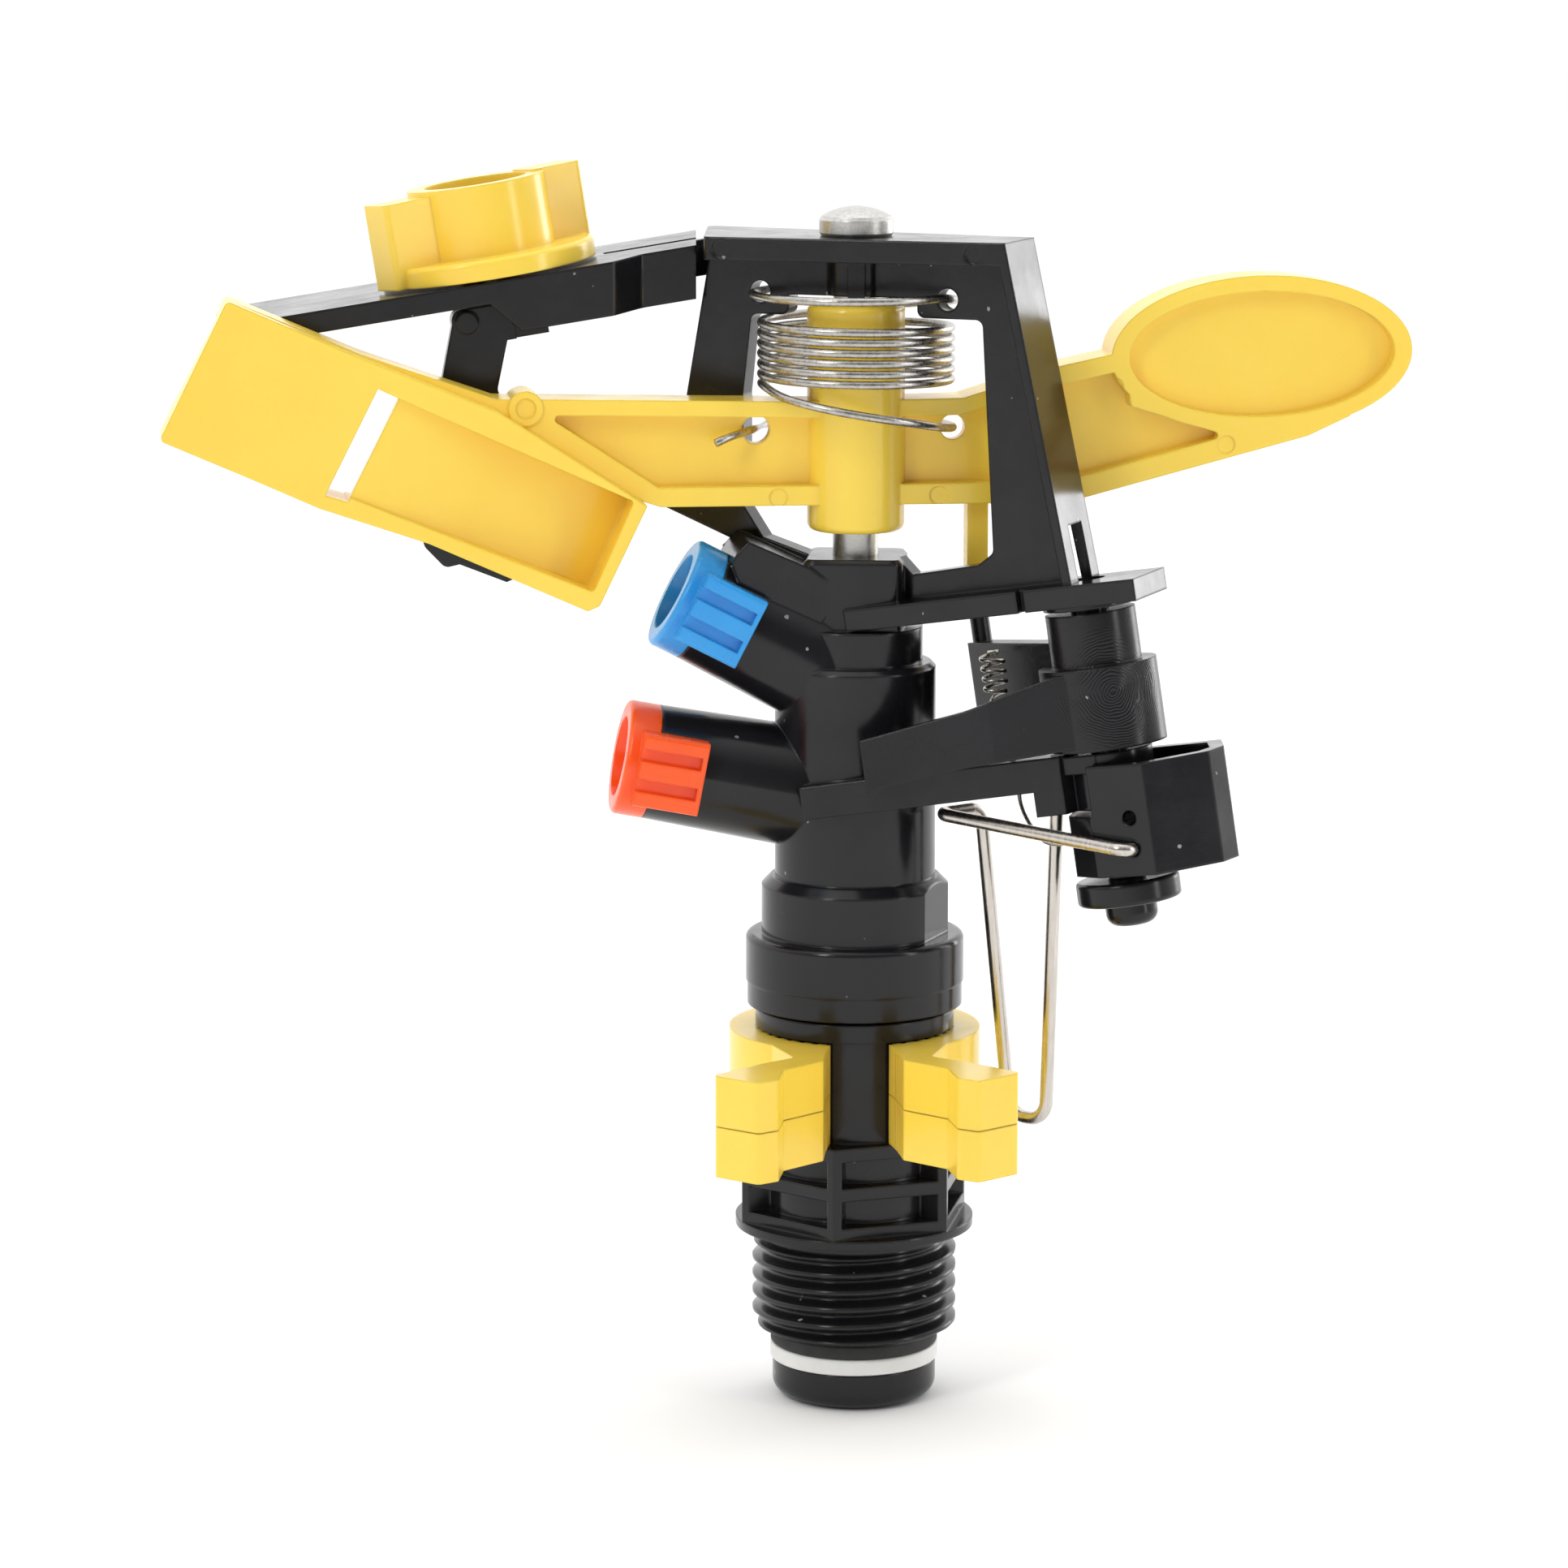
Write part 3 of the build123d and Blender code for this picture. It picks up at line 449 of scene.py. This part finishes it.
def threaded_sleeve(materials):
    """Inlet sleeve with its thread as a true helix."""
    form = bmesh.new()
    form.from_mesh(frame["nodes"]["threaded_sleeve"].data)
    everything = form.verts[:] + form.edges[:] + form.faces[:]
    bmesh.ops.bisect_plane(
        form, geom=everything, plane_co=(0, 0, THREAD_TOP * MM), plane_no=(0, 0, 1), clear_inner=True
    )
    grid = []
    for row in range(THREAD_ROWS + 1):
        z = THREAD_TOP + (THREAD_END - THREAD_TOP) * row / THREAD_ROWS
        radii = [thread_radius(step / THREAD_STEPS, z) for step in range(THREAD_STEPS)]
        if row < LEAD_IN_ROWS:
            radii = [CREST_R + (radius - CREST_R) * row / LEAD_IN_ROWS for radius in radii]
        if row == THREAD_ROWS:
            radii = [END_R] * THREAD_STEPS
        grid.append(ring_of_points(form, radii, z))
    for z in (THREAD_END, THREAD_TOP):
        grid.append(ring_of_points(form, [BORE_R] * THREAD_STEPS, z))
    for upper, lower in zip(grid, grid[1:]):
        for step in range(THREAD_STEPS):
            after = (step + 1) % THREAD_STEPS
            face = form.faces.new((upper[step], lower[step], lower[after], upper[after]))
            face.smooth = True
    mesh = bpy.data.meshes.new("threaded_sleeve_detail")
    form.to_mesh(mesh)
    form.free()
    made = piece("threaded_sleeve", mesh, materials, "black_moulding")
    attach(made, "inlet")


def hammer_arm(materials):
    """Hammer whose arm runs smoothly into the underside of the oval counterweight."""
    mesh = frame["nodes"]["hammer_arm"].data.copy()
    for vertex in mesh.vertices:
        x, z = vertex.co.x / MM, vertex.co.z / MM
        if NOTCH_FROM < x < NOTCH_TO:
            rim = OVAL_Z - OVAL_HALF_HIGH * math.sqrt(1 - ((x - OVAL_X) / OVAL_HALF_LONG) ** 2)
            vertex.co.z = max(z, rim) * MM
    made = piece("hammer_arm", mesh, materials, "yellow_moulding")
    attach(made, "hammer")


def twisting_spring(node, materials):
    """Copy of a spring that sits between the rotor and another body, as a fixed piece attached to
    neither.
    """
    mesh = frame["nodes"][node].data.copy()
    made = piece(node, mesh, materials, "spring_steel")
    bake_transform(made)


place_camera()
studio()
floor()
materials = make_materials()
dress_nodes(materials)
threaded_sleeve(materials)
hammer_arm(materials)
twisting_spring("hammer_spring", materials)
twisting_spring("trip_spring", materials)
